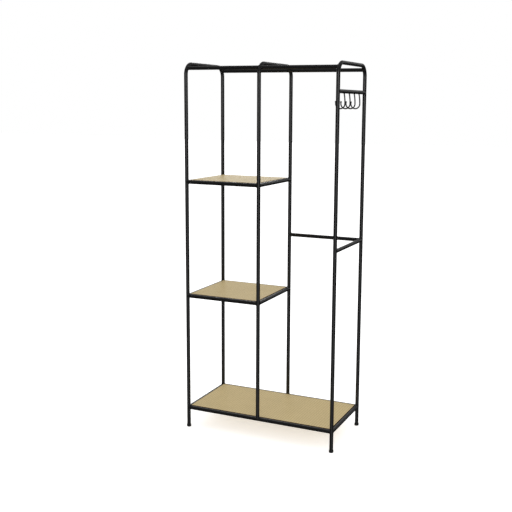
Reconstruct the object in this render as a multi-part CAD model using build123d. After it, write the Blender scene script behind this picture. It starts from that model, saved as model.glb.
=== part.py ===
"""Open hall tree: three tube arches, a shelf column, a coat rail and a hook rail.

Millimetres. +X is the hanging side, -X the shelf side, -Y the front and +Z up.
The origin is on the floor, under the middle of the frame.
"""
from build123d import *
import os
from math import sqrt

os.makedirs("parts", exist_ok=True)

# Overall sizes, between tube centres where not said otherwise
WIDTH = 764.0
DEPTH = 368.0
HEIGHT = 1800.0            # floor to the top of the arches

# Round steel tube
TUBE_R = 9.0
TUBE_WALL = 1.0
TUBE_BORE_R = TUBE_R - TUBE_WALL
ARCH_BEND_R = 50.0         # to the tube's centre line
COPE_R = TUBE_R + 0.05     # a rail's end is cut to this round the tube it meets

# Heights of the rail centres
BOTTOM_SHELF_Z = 100.0
MIDDLE_SHELF_Z = 673.0
POST_SEAM_Z = 900.0        # posts come in two lengths, joined here
COAT_RAIL_Z = 954.0
UPPER_SHELF_Z = 1234.0
HOOK_RAIL_Z = 1666.0
TOP_RAIL_DROP = 19.5       # below the arch's centre line
ARCH_Z = HEIGHT - TUBE_R

# Sleeves inside the post joints
SLEEVE_R = TUBE_BORE_R - 0.1
SLEEVE_WALL = 1.2
SLEEVE_LENGTH = 90.0

# Shelf panels, a little proud of the tops of their rails
PANEL_THICKNESS = 12.0
PANEL_PROUD = 1.0
PANEL_BOTTOM = TUBE_R + PANEL_PROUD - PANEL_THICKNESS     # from the rail's centre
PANEL_GAP = 0.5
PANEL_EDGE_RADIUS = 0.8

# Tabs welded inside the shelf rails, and the screws through them
TAB_WIDTH = 24.0
TAB_REACH = 26.0           # from the rail's centre
TAB_THICKNESS = 2.0
TAB_INSET = 70.0           # from the shelf's end posts
SCREW_R = 1.9
SCREW_HOLE_R = 2.3
SCREW_HEAD_R = 4.0
SCREW_HEAD_HEIGHT = 2.2
SCREW_DEPTH = 8.5          # into the panel
SCREW_OFFSET = 18.0        # from the rail's centre

# Wire hooks under the hook rail
HOOK_COUNT = 4
HOOK_PITCH = 69.0
HOOK_WIRE_R = 3.0
HOOK_LOOP_R = 22.0         # to the wire's centre line
HOOK_LOOP_DROP = 54.0      # rail centre to loop centre
HOOK_BOW = 4.5             # how far the shank swings outwards
HOOK_TIP_RISE = 8.0        # straight end above the loop's centre
HOOK_BALL_R = 4.2

# Levelling feet
FOOT_R = 11.0
FOOT_HEIGHT = 12.0
FOOT_EDGE_RADIUS = 3.0
FOOT_GAP = 0.4
FOOT_SOCKET_Z = 5.0
STUD_R = 3.0
STUD_TOP_Z = 36.0
INSERT_CLEARANCE = 0.05
INSERT_FLANGE = 2.0
INSERT_DEPTH = 24.0
INSERT_R = TUBE_BORE_R - 0.05

SIDE_X = WIDTH / 2
SIDE_Y = DEPTH / 2
LEG_END_Z = FOOT_HEIGHT + FOOT_GAP + INSERT_FLANGE
FRAME_X = {"left": -SIDE_X, "middle": 0.0, "right": SIDE_X}
ROW_Y = {"front": -SIDE_Y, "rear": SIDE_Y}


def save(name, shape):
    """Write one piece, or one group of like pieces, to its own file."""
    export_step(shape, f"parts/{name}.step")


def rod(start, end, radius):
    """Solid round bar between two points."""
    axis = Vector(*end) - Vector(*start)
    return Plane(origin=start, z_dir=axis) * extrude(Circle(radius), axis.length)


def tube(start, end, outer=TUBE_R, bore=TUBE_BORE_R):
    """Round tube between two points."""
    return rod(start, end, outer) - rod(start, end, bore)


def group(solids):
    """Like pieces kept as separate solids in one node."""
    return Compound(children=list(solids))


def arch_bar(x, radius, low_z):
    """Solid inverted U in the YZ plane, with its legs ending at low_z."""
    path = FilletPolyline(
        (x, -SIDE_Y, low_z), (x, -SIDE_Y, ARCH_Z), (x, SIDE_Y, ARCH_Z), (x, SIDE_Y, low_z),
        radius=ARCH_BEND_R,
    )
    return sweep(Plane(origin=(x, -SIDE_Y, low_z)) * Circle(radius), path=path)


def post_bar(frame, row):
    """The space a post's tube takes up, used to cope the rails that meet it."""
    x, y = FRAME_X[frame], ROW_Y[row]
    return rod((x, y, 0), (x, y, ARCH_Z - ARCH_BEND_R), COPE_R)


def cross_rail(row, z, from_frame, to_frame):
    """Rail along X, coped round a post at each end."""
    y = ROW_Y[row]
    rail = tube((FRAME_X[from_frame], y, z), (FRAME_X[to_frame], y, z))
    return rail - post_bar(from_frame, row) - post_bar(to_frame, row)


def side_rail(frame, z, corners=("front", "rear")):
    """Rail along Y between a frame's two posts, coped round them.

    At the named corners it is also cut back where a rail along X meets the same post.
    """
    x = FRAME_X[frame]
    rail = tube((x, -SIDE_Y, z), (x, SIDE_Y, z))
    rail -= post_bar(frame, "front")
    rail -= post_bar(frame, "rear")
    inward = 1 if frame == "left" else -1
    for row in corners:
        y = ROW_Y[row]
        rail -= rod((x, y, z), (x + inward * 2 * TUBE_R, y, z), COPE_R)
    return rail


# Frames: one arch each, standing on two lower posts

def make_frames():
    sleeves = []
    for frame, x in FRAME_X.items():
        arch = arch_bar(x, TUBE_R, POST_SEAM_Z) - arch_bar(x, TUBE_BORE_R, POST_SEAM_Z)
        save(f"{frame}_upper_arch", arch)
        for row, y in ROW_Y.items():
            if frame == "middle":
                # The middle posts stand on the bottom rails instead of the floor
                post = tube((x, y, BOTTOM_SHELF_Z), (x, y, POST_SEAM_Z))
                post -= rod((x - 2 * TUBE_R, y, BOTTOM_SHELF_Z),
                            (x + 2 * TUBE_R, y, BOTTOM_SHELF_Z), COPE_R)
            else:
                post = tube((x, y, LEG_END_Z), (x, y, POST_SEAM_Z))
            save(f"{frame}_{row}_lower_post", post)
            half = SLEEVE_LENGTH / 2
            sleeves.append(tube((x, y, POST_SEAM_Z - half), (x, y, POST_SEAM_Z + half),
                                SLEEVE_R, SLEEVE_R - SLEEVE_WALL))
    save("post_joint_sleeves", group(sleeves))


def make_top_rails():
    """Rails that tie the arches together, meeting them in their corner bends."""
    cutters = {frame: arch_bar(x, COPE_R, UPPER_SHELF_Z) for frame, x in FRAME_X.items()}
    z = ARCH_Z - TOP_RAIL_DROP
    bend_rise = ARCH_BEND_R - TOP_RAIL_DROP
    inward = ARCH_BEND_R - sqrt(ARCH_BEND_R ** 2 - bend_rise ** 2)
    for row, side in (("front", -1), ("rear", 1)):
        y = side * (SIDE_Y - inward)
        for from_frame, to_frame in (("left", "middle"), ("middle", "right")):
            rail = tube((FRAME_X[from_frame], y, z), (FRAME_X[to_frame], y, z))
            rail -= cutters[from_frame]
            rail -= cutters[to_frame]
            outer_frame = from_frame if from_frame != "middle" else to_frame
            save(f"top_{row}_rail_{outer_frame}", rail)


# Shelves

def screw_places(left_x, right_x, middle_too):
    """Where a shelf's tabs sit: X, and the row whose rail holds the tab."""
    places_x = [left_x + TAB_INSET, right_x - TAB_INSET]
    if middle_too:
        places_x.append((left_x + right_x) / 2)
    return [(x, row) for x in places_x for row in ROW_Y]


def make_tab(x, row, z):
    """Steel tab under the panel, welded to the rail, with a hole for its screw."""
    side = -1 if row == "front" else 1
    top = z + PANEL_BOTTOM
    plate = Pos(x, side * (SIDE_Y - TAB_REACH / 2), top - TAB_THICKNESS / 2) * Box(
        TAB_WIDTH, TAB_REACH, TAB_THICKNESS)
    plate -= rod((x - TAB_WIDTH, side * SIDE_Y, z), (x + TAB_WIDTH, side * SIDE_Y, z), COPE_R)
    screw_y = side * (SIDE_Y - SCREW_OFFSET)
    return plate - rod((x, screw_y, top - 2 * TAB_THICKNESS), (x, screw_y, top + 1), SCREW_HOLE_R)


def make_screw(x, row, z):
    """Pan-head screw from below, through the tab into the panel."""
    side = -1 if row == "front" else 1
    y = side * (SIDE_Y - SCREW_OFFSET)
    panel_bottom = z + PANEL_BOTTOM
    head_top = panel_bottom - TAB_THICKNESS
    head = rod((x, y, head_top - SCREW_HEAD_HEIGHT), (x, y, head_top), SCREW_HEAD_R)
    head = fillet(head.edges().group_by(Axis.Z)[0], SCREW_HEAD_HEIGHT * 0.6)
    return head + rod((x, y, head_top), (x, y, panel_bottom + SCREW_DEPTH), SCREW_R)


def make_panel(left_x, right_x, z, places):
    """Board that fills the shelf frame, with pilot holes for its screws."""
    margin = TUBE_R + PANEL_GAP
    length = right_x - left_x - 2 * margin
    width = DEPTH - 2 * margin
    centre_x = (left_x + right_x) / 2
    bottom = z + PANEL_BOTTOM
    board = Pos(centre_x, 0, bottom + PANEL_THICKNESS / 2) * Box(length, width, PANEL_THICKNESS)
    board = fillet(board.edges().group_by(Axis.Z)[-1], PANEL_EDGE_RADIUS)
    for x, row in places:
        y = (-1 if row == "front" else 1) * (SIDE_Y - SCREW_OFFSET)
        board -= rod((x, y, bottom - 1), (x, y, bottom + SCREW_DEPTH + 0.5), SCREW_R)
    return board


def make_shelves():
    shelves = (
        ("upper", UPPER_SHELF_Z, "middle"),
        ("middle", MIDDLE_SHELF_Z, "middle"),
        ("bottom", BOTTOM_SHELF_Z, "right"),
    )
    tabs = []
    screws = []
    for shelf, z, end_frame in shelves:
        for row in ROW_Y:
            save(f"{shelf}_shelf_{row}_rail", cross_rail(row, z, "left", end_frame))
        save(f"{shelf}_shelf_left_rail", side_rail("left", z))
        save(f"{shelf}_shelf_right_rail", side_rail(end_frame, z))
        left_x, right_x = FRAME_X["left"], FRAME_X[end_frame]
        places = screw_places(left_x, right_x, middle_too=end_frame == "right")
        save(f"{shelf}_shelf_panel", make_panel(left_x, right_x, z, places))
        tabs += [make_tab(x, row, z) for x, row in places]
        screws += [make_screw(x, row, z) for x, row in places]
    save("shelf_tabs", group(tabs))
    save("panel_screws", group(screws))


# Hanging side

def make_hanging_rails():
    save("coat_rail", cross_rail("rear", COAT_RAIL_Z, "middle", "right"))
    save("coat_side_rail", side_rail("right", COAT_RAIL_Z, corners=("rear",)))
    save("hook_rail", side_rail("right", HOOK_RAIL_Z, corners=()))


def make_hook(y):
    """Wire hook welded under the rail: a bowed shank, a half-round loop and a ball tip."""
    loop_z = HOOK_RAIL_Z - HOOK_LOOP_DROP
    shank_x = SIDE_X + HOOK_BOW
    tip_x = shank_x - 2 * HOOK_LOOP_R
    start = (SIDE_X, y, HOOK_RAIL_Z - TUBE_BORE_R)
    shank_rise = start[2] - loop_z
    shank_bend_r = (HOOK_BOW ** 2 + shank_rise ** 2) / (2 * HOOK_BOW)
    shank_centre = (shank_x - shank_bend_r, y, loop_z)
    half = sqrt(0.5)
    middle = Vector(*start) + Vector(shank_x, y, loop_z)
    outward = (middle / 2 - Vector(*shank_centre)).normalized() * shank_bend_r
    shank = ThreePointArc(start, Vector(*shank_centre) + outward, (shank_x, y, loop_z))
    quarter = (shank_x - HOOK_LOOP_R, y, loop_z - HOOK_LOOP_R)
    loop_mid = shank_x - HOOK_LOOP_R
    first = ThreePointArc(
        (shank_x, y, loop_z),
        (loop_mid + HOOK_LOOP_R * half, y, loop_z - HOOK_LOOP_R * half), quarter)
    second = ThreePointArc(
        quarter, (loop_mid - HOOK_LOOP_R * half, y, loop_z - HOOK_LOOP_R * half),
        (tip_x, y, loop_z))
    tip = Line((tip_x, y, loop_z), (tip_x, y, loop_z + HOOK_TIP_RISE))
    path = Wire([shank, first, second, tip])
    wire = sweep(Plane(origin=start, z_dir=path % 0) * Circle(HOOK_WIRE_R), path=path)
    hook = wire + Pos(tip_x, y, loop_z + HOOK_TIP_RISE) * Sphere(HOOK_BALL_R)
    rail_bar = rod((SIDE_X, y - 2 * TUBE_R, HOOK_RAIL_Z), (SIDE_X, y + 2 * TUBE_R, HOOK_RAIL_Z), TUBE_R)
    return hook - rail_bar


def make_hooks():
    for index in range(HOOK_COUNT):
        y = (index - (HOOK_COUNT - 1) / 2) * HOOK_PITCH
        save(f"hook_{index + 1}", make_hook(y))


# Feet

def make_insert(x, y):
    """Threaded plug in a leg's end, with a flange as wide as the tube."""
    bottom = FOOT_HEIGHT + FOOT_GAP
    flange = rod((x, y, bottom), (x, y, LEG_END_Z), TUBE_R)
    plug = flange + rod((x, y, LEG_END_Z), (x, y, bottom + INSERT_DEPTH), INSERT_R)
    return plug - rod((x, y, bottom - 1), (x, y, bottom + INSERT_DEPTH + 1), STUD_R + INSERT_CLEARANCE)


def make_feet():
    inserts = []
    for frame in ("left", "right"):
        for row, y in ROW_Y.items():
            x = FRAME_X[frame]
            pad = rod((x, y, 0), (x, y, FOOT_HEIGHT), FOOT_R)
            pad = fillet(pad.edges().group_by(Axis.Z)[0], FOOT_EDGE_RADIUS)
            pad = fillet(pad.edges().group_by(Axis.Z)[-1], FOOT_EDGE_RADIUS / 2)
            pad -= rod((x, y, FOOT_SOCKET_Z), (x, y, FOOT_HEIGHT + 1), STUD_R)
            save(f"{frame}_{row}_foot_pad", pad)
            save(f"{frame}_{row}_foot_stud", rod((x, y, FOOT_SOCKET_Z), (x, y, STUD_TOP_Z), STUD_R))
            inserts.append(make_insert(x, y))
    save("leg_end_inserts", group(inserts))


make_frames()
make_top_rails()
make_shelves()
make_hanging_rails()
make_hooks()
make_feet()
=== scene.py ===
"""Open hall tree: black powder-coated tube arches, lacquered cane-pattern shelves and wire hooks.

Laid out as an add-on. Every size is in metres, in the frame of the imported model, whose tubes,
hooks and feet stay as they are and only get their finish here. The boards, weld beads and
screws are modelled here, because their detail is finer than the frame's.
"""
import math

import bpy
from bpy.props import FloatProperty, FloatVectorProperty, IntProperty, PointerProperty
from mathutils import Matrix, Vector


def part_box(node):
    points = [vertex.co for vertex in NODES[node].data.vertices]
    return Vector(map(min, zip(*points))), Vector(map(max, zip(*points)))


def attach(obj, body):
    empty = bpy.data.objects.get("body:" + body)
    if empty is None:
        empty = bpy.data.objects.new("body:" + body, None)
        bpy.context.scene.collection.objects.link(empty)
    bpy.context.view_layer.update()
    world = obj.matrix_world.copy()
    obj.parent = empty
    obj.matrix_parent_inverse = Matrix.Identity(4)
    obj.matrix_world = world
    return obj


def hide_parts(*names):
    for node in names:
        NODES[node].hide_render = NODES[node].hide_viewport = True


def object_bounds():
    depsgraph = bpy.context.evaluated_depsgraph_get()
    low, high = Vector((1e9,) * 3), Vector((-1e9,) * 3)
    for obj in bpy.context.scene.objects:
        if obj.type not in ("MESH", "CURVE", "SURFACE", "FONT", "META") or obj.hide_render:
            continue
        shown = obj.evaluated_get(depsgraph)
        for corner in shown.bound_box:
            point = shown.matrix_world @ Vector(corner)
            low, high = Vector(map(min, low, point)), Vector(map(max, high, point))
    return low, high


bl_info = {
    "name": "Hall tree with hooks",
    "version": (1, 0, 0),
    "blender": (4, 5, 0),
    "location": "3D View > Sidebar > Hall Tree",
    "description": "Finishes an open tube hall tree and sets up its studio",
    "category": "Object",
}

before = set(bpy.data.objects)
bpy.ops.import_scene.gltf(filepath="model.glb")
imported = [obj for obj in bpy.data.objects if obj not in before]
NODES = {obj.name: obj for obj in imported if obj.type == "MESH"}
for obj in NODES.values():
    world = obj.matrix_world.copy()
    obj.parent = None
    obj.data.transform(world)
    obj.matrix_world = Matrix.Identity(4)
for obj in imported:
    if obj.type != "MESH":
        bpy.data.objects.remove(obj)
CAD_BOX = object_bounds()

MM = 0.001
X_AXIS, Y_AXIS, Z_AXIS = Vector((1, 0, 0)), Vector((0, 1, 0)), Vector((0, 0, 1))
TUBE_RADIUS = (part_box("left_front_lower_post")[1].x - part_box("left_front_lower_post")[0].x) / 2
SHELVES = ("upper", "middle", "bottom")


def linear(hex_colour):
    """Linear RGB of an sRGB hex colour such as "#1b1b1c"."""
    channels = [int(hex_colour[i:i + 2], 16) / 255 for i in (1, 3, 5)]
    return [c / 12.92 if c <= 0.04045 else ((c + 0.055) / 1.055) ** 2.4 for c in channels]


def colour_property(name, description, hex_colour):
    return FloatVectorProperty(
        name=name, description=description, default=linear(hex_colour),
        subtype="COLOR", size=3, min=0.0, max=1.0)


# Sizes and colours that a user may change

class HallTreeSteel(bpy.types.PropertyGroup):
    coat: colour_property("Powder coat", "Satin black of the tubes and tabs", "#0e0e0f")
    wire: colour_property("Wire enamel", "Glossier black of the hooks", "#0a0a0b")
    bead_radius: FloatProperty(
        name="Weld bead", description="Radius of the fillet weld round each tube joint",
        default=1.8 * MM, min=0.0, unit="LENGTH")
    bead_ripples: IntProperty(
        name="Weld ripples", description="Ripples along one tube joint's weld bead",
        default=24, min=6)
    wire_radius: FloatProperty(
        name="Hook wire", description="Radius of the hooks' wire",
        default=3.0 * MM, min=0.5 * MM, unit="LENGTH")


class HallTreeBoards(bpy.types.PropertyGroup):
    strand: colour_property("Cane strand", "Raised strands of the woven face", "#c3b185")
    gap: colour_property("Cane gap", "Sunken lines between the strands", "#988158")
    # Edge colour: bare fibreboard brown, darkened by painted shade for the groove between board
    # and rail
    core: colour_property("Fibreboard core", "Bare sawn edge of the board", "#3d2919")
    backing: colour_property("Backing", "Plain film on the underside", "#a8946c")
    edge_round: FloatProperty(
        name="Edge rounding", description="Radius of the board's edges",
        default=0.8 * MM, min=0.0, unit="LENGTH")
    weave_x: FloatProperty(
        name="Weave pitch along", description="Width of one woven cell along the shelf",
        default=13.0 * MM, min=1.0 * MM, unit="LENGTH")
    weave_y: FloatProperty(
        name="Weave pitch across", description="Depth of one woven cell across the shelf",
        default=7.0 * MM, min=1.0 * MM, unit="LENGTH")


class HallTreeStage(bpy.types.PropertyGroup):
    floor: colour_property("Floor", "Plain pale studio floor", "#f7f7f7")
    azimuth: FloatProperty(
        name="Azimuth", description="Camera's turn round the hall tree, to its right",
        default=math.radians(23.516), subtype="ANGLE")
    pitch: FloatProperty(
        name="Pitch", description="How far the camera looks down",
        default=math.radians(8.984), subtype="ANGLE")
    roll: FloatProperty(
        name="Roll", description="Camera's tilt about its own axis",
        default=math.radians(0.554), subtype="ANGLE")
    distance: FloatProperty(
        name="Distance", description="Camera to its aim point", default=4.005, unit="LENGTH")
    lens: FloatProperty(
        name="Lens", description="Focal length on a 36 mm sensor, in millimetres", default=58.04)
    shift_x: FloatProperty(
        name="Shift across", description="Lens shift to the right, as a share of the picture",
        default=-0.0586)
    shift_y: FloatProperty(
        name="Shift up", description="Lens shift upwards, as a share of the picture",
        default=-0.0391)


# Small tools

def deselect():
    bpy.ops.object.select_all(action="DESELECT")


def activate(obj):
    """Makes one object the only selected and active one."""
    deselect()
    obj.select_set(True)
    bpy.context.view_layer.objects.active = obj


def apply_modifiers(obj):
    activate(obj)
    for modifier in list(obj.modifiers):
        bpy.ops.object.modifier_apply(modifier=modifier.name)


def join(objects, name):
    """One object out of several, named for the piece."""
    activate(objects[0])
    for obj in objects:
        obj.select_set(True)
    bpy.ops.object.join()
    joined = bpy.context.view_layer.objects.active
    joined.name = name
    joined.data.name = name
    return joined


def bake_place(obj):
    """Moves the object's place into its mesh, so that it sits at the origin unturned."""
    activate(obj)
    bpy.ops.object.transform_apply(location=True, rotation=True, scale=True)


def finish_piece(obj, body="frame", replaces=()):
    """Hides the nodes a new piece stands in for and hangs the piece on what it rides on."""
    if replaces:
        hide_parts(*replaces)
    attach(obj, body)


def set_inputs(tree, node, inputs):
    """Gives each input a constant, or a link from another node's output socket."""
    for key, value in inputs.items():
        if isinstance(value, bpy.types.NodeSocket):
            tree.links.new(value, node.inputs[key])
        else:
            node.inputs[key].default_value = value


def add_node(tree, kind, inputs=None, **settings):
    node = tree.nodes.new(kind)
    for key, value in settings.items():
        setattr(node, key, value)
    set_inputs(tree, node, inputs or {})
    return node


def noise(tree, place, size, detail):
    """Noise from 0 to 1 in blotches of about the given size."""
    return add_node(tree, "ShaderNodeTexNoise",
                    {"Vector": place, "Scale": 1 / size, "Detail": detail}).outputs["Fac"]


def remap(tree, value, low, high):
    """Spreads a value from 0 to 1 over low to high."""
    return add_node(tree, "ShaderNodeMapRange",
                    {"Value": value, "To Min": low, "To Max": high}).outputs["Result"]


def fade(tree, value, start, end, low=0.0, high=1.0):
    """Goes softly from low to high while the value goes from start to end."""
    return add_node(tree, "ShaderNodeMapRange",
                    {"Value": value, "From Min": start, "From Max": end,
                     "To Min": low, "To Max": high},
                    interpolation_type="SMOOTHSTEP").outputs["Result"]


def calculate(tree, operation, *values):
    """One arithmetic step on sockets or numbers."""
    return add_node(tree, "ShaderNodeMath", dict(enumerate(values)),
                    operation=operation).outputs[0]


def shaded(tree, colour, shade):
    """A colour made lighter or darker by a factor."""
    return add_node(tree, "ShaderNodeVectorMath", {0: colour, "Scale": shade},
                    operation="SCALE").outputs["Vector"]


def bumped(tree, height, strength, distance):
    """Surface normal raised and sunk by up to the distance, following the height."""
    return add_node(tree, "ShaderNodeBump",
                    {"Height": height, "Strength": strength,
                     "Distance": distance}).outputs["Normal"]


def new_material(name):
    """A material with only its Principled shader and output, and the object's coordinates."""
    material = bpy.data.materials.new(name)
    material.use_nodes = True
    tree = material.node_tree
    shader = tree.nodes["Principled BSDF"]
    place = add_node(tree, "ShaderNodeTexCoord").outputs["Object"]
    return material, tree, shader, place


def rgba(colour):
    return (*colour, 1.0)


# Materials

def powder_coated_steel(colour):
    """Polyester powder coat, sprayed and baked: even satin black with a fine orange-peel skin."""
    material, tree, shader, place = new_material("powder_coated_steel")
    peel = noise(tree, place, size=1.4 * MM, detail=2.0)
    sheen = noise(tree, place, size=60 * MM, detail=3.0)
    set_inputs(tree, shader, {
        "Base Color": rgba(colour),
        "Roughness": remap(tree, sheen, 0.26, 0.36),
        "IOR": 1.5,
        "Normal": bumped(tree, peel, strength=0.06, distance=0.04 * MM),
    })
    return material


def enamelled_wire(colour):
    """Dipped black enamel on drawn wire: smoother and glossier than the sprayed tubes."""
    material, tree, shader, place = new_material("enamelled_wire")
    sag = noise(tree, place, size=5 * MM, detail=2.0)
    set_inputs(tree, shader, {
        "Base Color": rgba(colour),
        "Roughness": 0.22,
        "Normal": bumped(tree, sag, strength=0.2, distance=0.1 * MM),
    })
    return material


def lacquered_cane_face(strand, gap, pitch_x, pitch_y):
    """Woven cane pattern under satin lacquer: pale flat strands, darker gaps, soft reflections."""
    material, tree, shader, place = new_material("lacquered_cane_face")
    cells = add_node(tree, "ShaderNodeVectorMath", {0: place, 1: (1 / pitch_x, 1 / pitch_y, 0.0)},
                     operation="MULTIPLY").outputs["Vector"]
    split = add_node(tree, "ShaderNodeSeparateXYZ", {"Vector": cells})
    crowns = []
    for axis in ("X", "Y"):
        wave = calculate(tree, "SINE", calculate(tree, "MULTIPLY", split.outputs[axis], math.pi))
        crowns.append(calculate(tree, "ABSOLUTE", wave))
    over = add_node(tree, "ShaderNodeTexChecker", {"Vector": cells, "Scale": 1.0})
    height = add_node(tree, "ShaderNodeMix",
                      {"Factor": over.outputs["Fac"], "A": crowns[0], "B": crowns[1]})
    flat_from = 0.55
    rise = fade(tree, height.outputs["Result"], 0.0, flat_from)
    colour = add_node(tree, "ShaderNodeMix",
                      {"Factor": rise, "A": rgba(gap), "B": rgba(strand)}, data_type="RGBA")
    fibres = remap(tree, noise(tree, place, size=0.8 * MM, detail=1.0), 0.9, 1.1)
    patches = remap(tree, noise(tree, place, size=90 * MM, detail=2.0), 0.94, 1.06)
    shade = calculate(tree, "MULTIPLY", fibres, patches)
    set_inputs(tree, shader, {
        "Base Color": shaded(tree, colour.outputs["Result"], shade),
        "Roughness": 0.45,
        "Specular IOR Level": 0.03,
        "Normal": bumped(tree, rise, strength=0.35, distance=0.15 * MM),
    })
    return material


def sawn_fibreboard_in_painted_shade(colour):
    """Medium-density fibreboard, sawn: matt brown with darker pressed fibres. The brown is
    darkened further by painted shade, for the shade in the groove between board and rail.
    """
    material, tree, shader, place = new_material("sawn_fibreboard_in_painted_shade")
    fibres = remap(tree, noise(tree, place, size=1.2 * MM, detail=4.0), 0.7, 1.25)
    set_inputs(tree, shader, {
        "Base Color": shaded(tree, tuple(colour), fibres),
        "Roughness": 0.85,
    })
    return material


def backing_film(colour):
    """Melamine-faced paper on the underside: plain, matt and slightly mottled."""
    material, tree, shader, place = new_material("backing_film")
    mottle = remap(tree, noise(tree, place, size=12 * MM, detail=5.0), 0.93, 1.05)
    set_inputs(tree, shader, {
        "Base Color": shaded(tree, tuple(colour), mottle),
        "Roughness": 0.55,
    })
    return material


def moulded_nylon():
    """Injection-moulded black nylon: matt with a fine spark-eroded grain."""
    material, tree, shader, place = new_material("moulded_nylon")
    grain = noise(tree, place, size=0.5 * MM, detail=3.0)
    set_inputs(tree, shader, {
        "Base Color": rgba(linear("#101011")),
        "Roughness": 0.55,
        "Normal": bumped(tree, grain, strength=0.3, distance=0.05 * MM),
    })
    return material


def zinc_plated_steel():
    """Bright zinc plating on steel: pale grey metal with a faint mottled haze."""
    material, tree, shader, place = new_material("zinc_plated_steel")
    haze = noise(tree, place, size=3 * MM, detail=3.0)
    set_inputs(tree, shader, {
        "Base Color": rgba(linear("#b9bcc0")),
        "Metallic": 1.0,
        "Roughness": remap(tree, haze, 0.28, 0.45),
    })
    return material


def coat_node(name, material):
    """Gives a frame node its finish. Its mesh stays as it is."""
    obj = NODES[name]
    obj.data.materials.clear()
    obj.data.materials.append(material)


# Steelwork

def steel_nodes():
    plain = ("_arch", "_lower_post", "_rail", "_rail_left", "_rail_right")
    return [name for name in NODES if name.endswith(plain) or name == "shelf_tabs"]


def hook_nodes():
    return sorted(name for name in NODES if name.startswith("hook_") and name != "hook_rail")


class HALLTREE_OT_steelwork(bpy.types.Operator):
    """Powder-coats the arches, posts, rails and shelf tabs"""
    bl_idname = "hall_tree.steelwork"
    bl_label = "Tubes and tabs"

    def execute(self, context):
        coat = powder_coated_steel(context.scene.hall_tree_steel.coat)
        for name in steel_nodes():
            coat_node(name, coat)
        return {"FINISHED"}


def ripple_bead(radius, tube_radius, bead_radius, ripples):
    """Weld bead where a tube or wire of one radius runs up out of a tube lying along X.

    The seam is a circle dropped onto the lying tube. The bead on it is thickest where the two
    meet at a right angle, and almost gone at the sides, where equal tubes run into each other.
    """
    proud = 0.15 * MM
    points_per_ripple = 6
    ripple_height = 0.10        # of the bead's radius
    side_size = 0.35            # of the full bead, at the sides
    deselect()
    bpy.ops.mesh.primitive_cylinder_add(
        vertices=256, radius=tube_radius + proud, depth=4 * tube_radius,
        rotation=(0.0, math.pi / 2, 0.0))
    tube = bpy.context.active_object
    deselect()
    bpy.ops.mesh.primitive_circle_add(
        vertices=points_per_ripple * ripples, radius=radius,
        location=(0.0, 0.0, 2 * tube_radius))
    bead = bpy.context.active_object
    bake_place(bead)
    drop = bead.modifiers.new("drop onto tube", "SHRINKWRAP")
    drop.target = tube
    drop.wrap_method = "PROJECT"
    drop.use_project_z = True
    drop.use_positive_direction = False
    drop.use_negative_direction = True
    apply_modifiers(bead)
    bpy.data.objects.remove(tube)
    activate(bead)
    bpy.ops.object.convert(target="CURVE")
    bead = bpy.context.active_object
    bead.data.bevel_depth = bead_radius
    bead.data.bevel_resolution = 2
    for step, point in enumerate(bead.data.splines[0].points):
        corner = abs(point.co.x) / radius
        ripple = 1.0 + ripple_height * math.cos(2 * math.pi * step / points_per_ripple)
        thickness = side_size + (1 - side_size) * corner if radius == tube_radius else 1.0
        point.radius = thickness * ripple
    bpy.ops.object.convert(target="MESH")
    bead = bpy.context.active_object
    bpy.ops.object.mode_set(mode="EDIT")
    bpy.ops.mesh.select_all(action="SELECT")
    bpy.ops.mesh.remove_doubles(threshold=0.001 * MM)
    bpy.ops.mesh.normals_make_consistent(inside=False)
    bpy.ops.object.mode_set(mode="OBJECT")
    bpy.ops.object.shade_smooth()
    return bead


def copy_at(model, centre, along, across):
    """A copy with its own mesh: the model's Z turned to along and its X to across."""
    activate(model)
    bpy.ops.object.duplicate()
    copy = bpy.context.active_object
    turned = Matrix((across, along.cross(across), along)).transposed().to_4x4()
    copy.matrix_world = Matrix.Translation(centre) @ turned
    bake_place(copy)
    return copy


def node_centre(name):
    low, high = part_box(name)
    return (low + high) / 2


def posts_centre(frame_name, row):
    """Centre line of a post, as a point at its foot."""
    centre = node_centre(f"{frame_name}_{row}_lower_post")
    return Vector((centre.x, centre.y, 0.0))


def cross_rail_joints(row, height, from_frame, to_frame):
    """Both ends of a rail along X: joint centre, rail direction, post direction."""
    ends = ((from_frame, X_AXIS), (to_frame, -X_AXIS))
    return [(posts_centre(end, row) + Z_AXIS * height, along, Z_AXIS) for end, along in ends]


def side_rail_joints(frame_name, height):
    """Both ends of a rail along Y."""
    ends = (("front", Y_AXIS), ("rear", -Y_AXIS))
    return [(posts_centre(frame_name, row) + Z_AXIS * height, along, Z_AXIS)
            for row, along in ends]


def shelf_joints(shelf, end_frame):
    """A shelf's eight joints, between the left frame and its end frame."""
    height = node_centre(f"{shelf}_shelf_front_rail").z
    joints = side_rail_joints("left", height) + side_rail_joints(end_frame, height)
    for row in ("front", "rear"):
        joints += cross_rail_joints(row, height, "left", end_frame)
    return joints


def top_rail_joints():
    """The top rails meet the arches in their bends, so the tube they meet leans inwards."""
    joints = []
    arch_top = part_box("left_upper_arch")[1].z - TUBE_RADIUS
    for row, side in (("front", -1), ("rear", 1)):
        rail = node_centre(f"top_{row}_rail_left")
        post = posts_centre("left", row)
        inward = abs(post.y - rail.y)
        drop = arch_top - rail.z
        # The bend's radius from the rail's offset and drop: (r - drop)^2 + (r - inward)^2 = r^2
        total = inward + drop
        radius = total + math.sqrt(2 * inward * drop)
        rise = radius - drop
        lean = math.asin(rise / radius)
        across = Vector((0.0, -side * math.sin(lean), math.cos(lean)))
        for name, along in (("left", X_AXIS), ("middle", -X_AXIS),
                            ("middle", X_AXIS), ("right", -X_AXIS)):
            x = posts_centre(name, row).x
            joints.append((Vector((x, rail.y, rail.z)), along, across))
    return joints


def bottom_post_joints():
    """The middle posts stand on the bottom rails."""
    height = node_centre("bottom_shelf_front_rail").z
    return [(posts_centre("middle", row) + Z_AXIS * height, Z_AXIS, X_AXIS)
            for row in ("front", "rear")]


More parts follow.
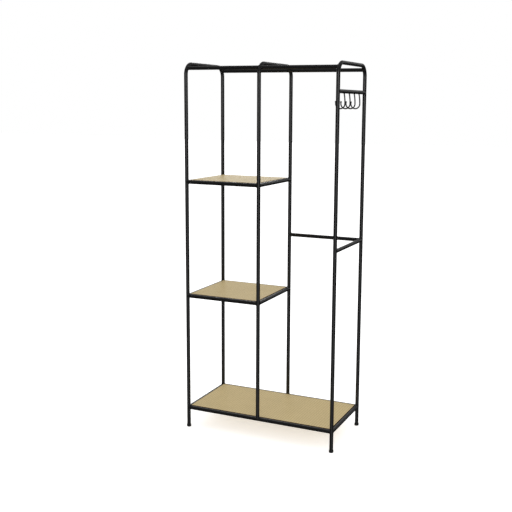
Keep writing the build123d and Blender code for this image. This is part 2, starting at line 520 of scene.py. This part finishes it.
class HALLTREE_OT_weld_beads(bpy.types.Operator):
    """Adds the fillet welds where rails and posts meet"""
    bl_idname = "hall_tree.weld_beads"
    bl_label = "Weld beads"

    def execute(self, context):
        steel = context.scene.hall_tree_steel
        coat = bpy.data.materials["powder_coated_steel"]
        coat_height = node_centre("coat_rail").z
        hook_height = node_centre("hook_rail").z
        groups = {
            "top_rail_welds": top_rail_joints(),
            "upper_shelf_welds": shelf_joints("upper", "middle"),
            "middle_shelf_welds": shelf_joints("middle", "middle"),
            "bottom_shelf_welds": shelf_joints("bottom", "right") + bottom_post_joints(),
            "coat_rail_welds": (cross_rail_joints("rear", coat_height, "middle", "right")
                                + side_rail_joints("right", coat_height)),
            "hook_rail_welds": side_rail_joints("right", hook_height),
        }
        bead = ripple_bead(TUBE_RADIUS, TUBE_RADIUS, steel.bead_radius, steel.bead_ripples)
        for name, joints in groups.items():
            welds = join([copy_at(bead, *joint) for joint in joints], name)
            welds.data.materials.append(coat)
            finish_piece(welds)
        bpy.data.objects.remove(bead)
        return {"FINISHED"}


class HALLTREE_OT_hook_roots(bpy.types.Operator):
    """Adds the small weld under the rail at each hook's root"""
    bl_idname = "hall_tree.hook_roots"
    bl_label = "Hook root welds"

    def execute(self, context):
        steel = context.scene.hall_tree_steel
        rail = node_centre("hook_rail")
        wire_bead_radius = steel.bead_radius * 0.7
        wire_bead_ripples = 10
        bead = ripple_bead(steel.wire_radius, TUBE_RADIUS, wire_bead_radius, wire_bead_ripples)
        roots = [Vector((rail.x, node_centre(name).y, rail.z)) for name in hook_nodes()]
        welds = join([copy_at(bead, root, -Z_AXIS, Y_AXIS) for root in roots], "hook_root_welds")
        welds.data.materials.append(bpy.data.materials["powder_coated_steel"])
        finish_piece(welds)
        bpy.data.objects.remove(bead)
        return {"FINISHED"}


def solid_boxes(node, reach):
    """Boxes of a node's separate solids, each smaller than reach and further than that apart."""
    boxes = []
    for vertex in NODES[node].data.vertices:
        for low, high in boxes:
            if all(high[i] - reach < vertex.co[i] < low[i] + reach for i in range(3)):
                for i in range(3):
                    low[i] = min(low[i], vertex.co[i])
                    high[i] = max(high[i], vertex.co[i])
                break
        else:
            boxes.append((vertex.co.copy(), vertex.co.copy()))
    return boxes


def tab_places():
    """Each tab's box and the direction it reaches in from its rail."""
    places = []
    tab_reach = 40 * MM
    for low, high in solid_boxes("shelf_tabs", tab_reach):
        centre = (low + high) / 2
        reach = Y_AXIS if centre.y < 0 else -Y_AXIS
        places.append((low, high, reach))
    return places


class HALLTREE_OT_tab_welds(bpy.types.Operator):
    """Adds the short fillets that hold the shelf tabs to their rails"""
    bl_idname = "hall_tree.tab_welds"
    bl_label = "Tab welds"

    def execute(self, context):
        steel = context.scene.hall_tree_steel
        places = tab_places()
        low, high, reach = places[0]
        short_of_corners = 1 * MM
        deselect()
        bpy.ops.mesh.primitive_cylinder_add(
            vertices=16, radius=steel.bead_radius, depth=high.x - low.x - 2 * short_of_corners,
            rotation=(0.0, math.pi / 2, 0.0))
        fillet = bpy.context.active_object
        bake_place(fillet)
        rounding = fillet.modifiers.new("rounded ends", "BEVEL")
        rounding.width = steel.bead_radius * 0.8
        rounding.segments = 4
        rounding.limit_method = "ANGLE"
        apply_modifiers(fillet)
        bpy.ops.object.shade_smooth()
        rails = [node_centre(f"{shelf}_shelf_front_rail") for shelf in SHELVES]
        copies = []
        for low, high, reach in places:
            rail = min(rails, key=lambda centre: abs(centre.z - low.z))
            inward = math.sqrt(TUBE_RADIUS ** 2 - (rail.z - low.z) ** 2)
            corner = Vector(((low.x + high.x) / 2, (rail.y + inward) * reach.y, low.z))
            copies.append(copy_at(fillet, corner, Z_AXIS, X_AXIS))
        welds = join(copies, "tab_welds")
        welds.data.materials.append(bpy.data.materials["powder_coated_steel"])
        finish_piece(welds)
        bpy.data.objects.remove(fillet)
        return {"FINISHED"}


# Shelf boards

def make_board(shelf, edge_round, face, core, backing):
    """A board in the box of its shelf's panel, with rounded edges and three materials."""
    low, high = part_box(f"{shelf}_shelf_panel")
    deselect()
    bpy.ops.mesh.primitive_cube_add(size=1.0, location=(low + high) / 2)
    board = bpy.context.active_object
    board.name = f"{shelf}_shelf_board"
    board.data.name = board.name
    board.scale = high - low
    bake_place(board)
    bevel = board.modifiers.new("edge rounding", "BEVEL")
    bevel.width = edge_round
    bevel.segments = 3
    apply_modifiers(board)
    for material in (face, core, backing):
        board.data.materials.append(material)
    level = 0.95                # a normal this upright belongs to the face or the backing
    for polygon in board.data.polygons:
        if polygon.normal.z > level:
            polygon.material_index = 0
        elif polygon.normal.z < -level:
            polygon.material_index = 2
        else:
            # the edges take the fibreboard colour, which carries painted shade
            polygon.material_index = 1
    return board


class HALLTREE_OT_shelf_boards(bpy.types.Operator):
    """Builds the three boards with their woven faces and sawn edges"""
    bl_idname = "hall_tree.shelf_boards"
    bl_label = "Shelf boards"

    def execute(self, context):
        boards = context.scene.hall_tree_boards
        face = lacquered_cane_face(boards.strand, boards.gap, boards.weave_x, boards.weave_y)
        core = sawn_fibreboard_in_painted_shade(boards.core)
        backing = backing_film(boards.backing)
        for shelf in SHELVES:
            board = make_board(shelf, boards.edge_round, face, core, backing)
            finish_piece(board, replaces=[f"{shelf}_shelf_panel"])
        return {"FINISHED"}


# Hooks

class HALLTREE_OT_hooks(bpy.types.Operator):
    """Enamels the wire hooks"""
    bl_idname = "hall_tree.hooks"
    bl_label = "Wire hooks"

    def execute(self, context):
        enamel = enamelled_wire(context.scene.hall_tree_steel.wire)
        for name in hook_nodes():
            coat_node(name, enamel)
        return {"FINISHED"}


# Feet and hidden fixings

class HALLTREE_OT_feet(bpy.types.Operator):
    """Finishes the foot pads, leg plugs, studs and post sleeves"""
    bl_idname = "hall_tree.feet"
    bl_label = "Feet and fixings"

    def execute(self, context):
        nylon = moulded_nylon()
        zinc = zinc_plated_steel()
        for name in NODES:
            if name.endswith("_foot_pad") or name == "leg_end_inserts":
                coat_node(name, nylon)
            elif name.endswith("_foot_stud") or name == "post_joint_sleeves":
                coat_node(name, zinc)
        return {"FINISHED"}


def select_faces(obj, chosen):
    """Leaves edit mode's face selection on the faces that chosen accepts."""
    bpy.ops.object.mode_set(mode="OBJECT")
    for part in (*obj.data.vertices, *obj.data.edges):
        part.select = False
    for polygon in obj.data.polygons:
        polygon.select = chosen(polygon)
    bpy.ops.object.mode_set(mode="EDIT")
    bpy.ops.mesh.select_mode(type="FACE")


def panel_screw(low, high):
    """Pan-head screw with a hexagon socket, head down, in the box of the frame's screw."""
    head_height, head_rounding = 2.2 * MM, 0.8 * MM
    shank_radius, point_length, point_size = 1.9 * MM, 1.5 * MM, 0.15
    socket_radius, socket_depth = 1.45 * MM, 1.2 * MM
    centre = (low + high) / 2
    head_radius = (high.x - low.x) / 2
    shank_length = high.z - low.z - head_height - point_length
    deselect()
    bpy.ops.mesh.primitive_cylinder_add(
        vertices=48, radius=head_radius, depth=head_height,
        location=(centre.x, centre.y, low.z + head_height / 2))
    screw = bpy.context.active_object
    bake_place(screw)
    margin = 0.01 * MM
    select_faces(screw, lambda face: face.center.z < low.z + margin)
    bpy.ops.mesh.bevel(offset=head_rounding, segments=4, affect="EDGES")
    select_faces(screw, lambda face: face.center.z > low.z + head_height - margin)
    bpy.ops.mesh.inset(thickness=head_radius - shank_radius)
    for length in (shank_length, point_length):
        bpy.ops.mesh.extrude_region_move(
            TRANSFORM_OT_translate={"value": (0.0, 0.0, length)})
    bpy.ops.transform.resize(value=(point_size, point_size, 1.0),
                             center_override=(centre.x, centre.y, high.z))
    bpy.ops.object.mode_set(mode="OBJECT")
    deselect()
    bpy.ops.mesh.primitive_cylinder_add(
        vertices=6, radius=socket_radius, depth=2 * socket_depth,
        location=(centre.x, centre.y, low.z))
    socket = bpy.context.active_object
    cut = screw.modifiers.new("hexagon socket", "BOOLEAN")
    cut.operation = "DIFFERENCE"
    cut.solver = "EXACT"
    cut.object = socket
    apply_modifiers(screw)
    bpy.data.objects.remove(socket)
    activate(screw)
    bpy.ops.object.shade_smooth_by_angle(angle=math.radians(35))
    return screw


class HALLTREE_OT_screws(bpy.types.Operator):
    """Models the screws that hold the boards from below"""
    bl_idname = "hall_tree.screws"
    bl_label = "Board screws"

    def execute(self, context):
        screw_reach = 20 * MM
        boxes = solid_boxes("panel_screws", screw_reach)
        first = panel_screw(*boxes[0])
        screws = [first]
        for low, high in boxes[1:]:
            activate(first)
            bpy.ops.object.duplicate()
            copy = bpy.context.active_object
            copy.location = low - boxes[0][0]
            bake_place(copy)
            screws.append(copy)
        screws = join(screws, "board_screws")
        screws.data.materials.append(bpy.data.materials["zinc_plated_steel"])
        finish_piece(screws, replaces=["panel_screws"])
        return {"FINISHED"}


# Studio

def studio_floor(colour):
    """Matt painted studio floor, plain and pale. It glows a little, so its shadow stays faint."""
    material, tree, shader, _ = new_material("painted_studio_floor")
    set_inputs(tree, shader, {
        "Base Color": rgba(colour),
        "Roughness": 0.9,
        "Specular IOR Level": 0.0,
        "Emission Color": (1, 1, 1, 1),
        "Emission Strength": 0.45,
    })
    return material


def studio_world():
    """White backdrop, an even white dome for light, and a darker room for reflections.

    Glossy surfaces see a pale wall behind the hall tree above the horizon, a dim ceiling, a
    bright patch in front of it, and near black below the horizon behind.
    """
    to_front = (0.427, -0.904, 0.0)
    white = (1, 1, 1, 1)
    world = bpy.data.worlds.new("studio")
    bpy.context.scene.world = world
    world.use_nodes = True
    tree = world.node_tree
    tree.nodes.clear()
    direction = add_node(tree, "ShaderNodeTexCoord").outputs["Generated"]
    height = add_node(tree, "ShaderNodeSeparateXYZ", {"Vector": direction}).outputs["Z"]
    frontness = add_node(tree, "ShaderNodeVectorMath", {0: direction, 1: to_front},
                         operation="DOT_PRODUCT").outputs["Value"]
    front = fade(tree, frontness, 0.75, 0.97, high=0.9)
    behind = fade(tree, frontness, -0.1, -0.5)
    wall = fade(tree, height, -0.03, 0.08, low=0.01, high=0.45)
    ceiling = fade(tree, height, 0.5, 0.9, low=0.03, high=0.35)
    seen_wall = calculate(tree, "MULTIPLY", behind, wall)
    walls = calculate(tree, "ADD", seen_wall, front)
    room = calculate(tree, "MAXIMUM", walls, ceiling)
    dome = add_node(tree, "ShaderNodeBackground", {"Color": white, "Strength": 1.0})
    reflected = add_node(tree, "ShaderNodeBackground", {"Color": white, "Strength": room})
    glossy = add_node(tree, "ShaderNodeLightPath").outputs["Is Glossy Ray"]
    mix = add_node(tree, "ShaderNodeMixShader",
                   {0: glossy, 1: dome.outputs[0], 2: reflected.outputs[0]})
    add_node(tree, "ShaderNodeOutputWorld", {"Surface": mix.outputs[0]})


def studio_light(name, place, aim, size, watts):
    """A square soft box, itself out of sight."""
    deselect()
    bpy.ops.object.light_add(type="AREA", location=place)
    lamp = bpy.context.active_object
    lamp.name = name
    lamp.data.size = size
    lamp.data.energy = watts
    lamp.visible_camera = False
    lamp.rotation_euler = (aim - Vector(place)).to_track_quat("-Z", "Y").to_euler()


def studio_camera(stage):
    """The camera stands back from its aim point, turned to the right and looking down."""
    aim = Vector((0.0609, 0.0, 0.9763))
    azimuth, pitch, roll = stage.azimuth, stage.pitch, stage.roll
    ahead = Vector((-math.sin(azimuth) * math.cos(pitch),
                    math.cos(azimuth) * math.cos(pitch), -math.sin(pitch)))
    level = Vector((math.cos(azimuth), math.sin(azimuth), 0.0))
    above = level.cross(ahead)
    right = level * math.cos(roll) + above * math.sin(roll)
    up = above * math.cos(roll) - level * math.sin(roll)
    deselect()
    bpy.ops.object.camera_add()
    camera = bpy.context.active_object
    camera.name = "studio_camera"
    turned = Matrix((right, up, -ahead)).transposed().to_4x4()
    camera.matrix_world = Matrix.Translation(aim - ahead * stage.distance) @ turned
    camera.data.sensor_width = 36.0
    camera.data.lens = stage.lens
    camera.data.shift_x = stage.shift_x
    camera.data.shift_y = stage.shift_y
    camera.data.clip_end = 100.0
    bpy.context.scene.camera = camera


class HALLTREE_OT_stage(bpy.types.Operator):
    """Builds the plain studio: floor, light and camera"""
    bl_idname = "hall_tree.stage"
    bl_label = "Studio"

    def execute(self, context):
        stage = context.scene.hall_tree_stage
        deselect()
        bpy.ops.mesh.primitive_plane_add(size=60.0, location=(0.0, 0.0, 0.0))
        floor = bpy.context.active_object
        floor.name = "studio_floor"
        floor.data.materials.append(studio_floor(stage.floor))
        floor.visible_glossy = False
        studio_world()
        middle = Vector((0.0, 0.0, CAD_BOX[1].z / 2))
        studio_light("soft_box_front", (1.9, -3.6, 2.2), middle, 1.0, 28.0)
        studio_light("soft_box_behind", (-1.9, 3.6, 2.4), middle, 1.0, 14.0)
        studio_camera(stage)
        context.scene.view_settings.view_transform = "Standard"
        return {"FINISHED"}


class HALLTREE_PT_panel(bpy.types.Panel):
    """Sizes, colours and build steps of the hall tree"""
    bl_idname = "HALLTREE_PT_panel"
    bl_label = "Hall Tree"
    bl_space_type = "VIEW_3D"
    bl_region_type = "UI"
    bl_category = "Hall Tree"

    def draw(self, context):
        for title, group, operators in PANEL_SECTIONS:
            section = self.layout.box()
            section.label(text=title)
            settings = getattr(context.scene, group)
            for name in settings.bl_rna.properties.keys():
                if name not in ("rna_type", "name"):
                    section.prop(settings, name)
            for operator in operators:
                section.operator(operator.bl_idname)


PROPERTY_GROUPS = {
    "hall_tree_steel": HallTreeSteel,
    "hall_tree_boards": HallTreeBoards,
    "hall_tree_stage": HallTreeStage,
}
PANEL_SECTIONS = (
    ("Steel", "hall_tree_steel",
     (HALLTREE_OT_steelwork, HALLTREE_OT_weld_beads, HALLTREE_OT_tab_welds, HALLTREE_OT_hooks,
      HALLTREE_OT_hook_roots, HALLTREE_OT_feet)),
    ("Boards", "hall_tree_boards", (HALLTREE_OT_shelf_boards, HALLTREE_OT_screws)),
    ("Studio", "hall_tree_stage", (HALLTREE_OT_stage,)),
)
CLASSES = (
    *PROPERTY_GROUPS.values(), HALLTREE_OT_steelwork, HALLTREE_OT_weld_beads,
    HALLTREE_OT_tab_welds, HALLTREE_OT_shelf_boards, HALLTREE_OT_hooks, HALLTREE_OT_hook_roots,
    HALLTREE_OT_feet, HALLTREE_OT_screws, HALLTREE_OT_stage, HALLTREE_PT_panel,
)


def register():
    for cls in CLASSES:
        bpy.utils.register_class(cls)
    for name, group in PROPERTY_GROUPS.items():
        setattr(bpy.types.Scene, name, PointerProperty(type=group))


def unregister():
    for name in PROPERTY_GROUPS:
        delattr(bpy.types.Scene, name)
    for cls in reversed(CLASSES):
        bpy.utils.unregister_class(cls)


def main():
    register()
    bpy.ops.hall_tree.steelwork()
    bpy.ops.hall_tree.weld_beads()
    bpy.ops.hall_tree.tab_welds()
    bpy.ops.hall_tree.shelf_boards()
    bpy.ops.hall_tree.hooks()
    bpy.ops.hall_tree.hook_roots()
    bpy.ops.hall_tree.feet()
    bpy.ops.hall_tree.screws()
    bpy.ops.hall_tree.stage()


if __name__ == "__main__":
    main()
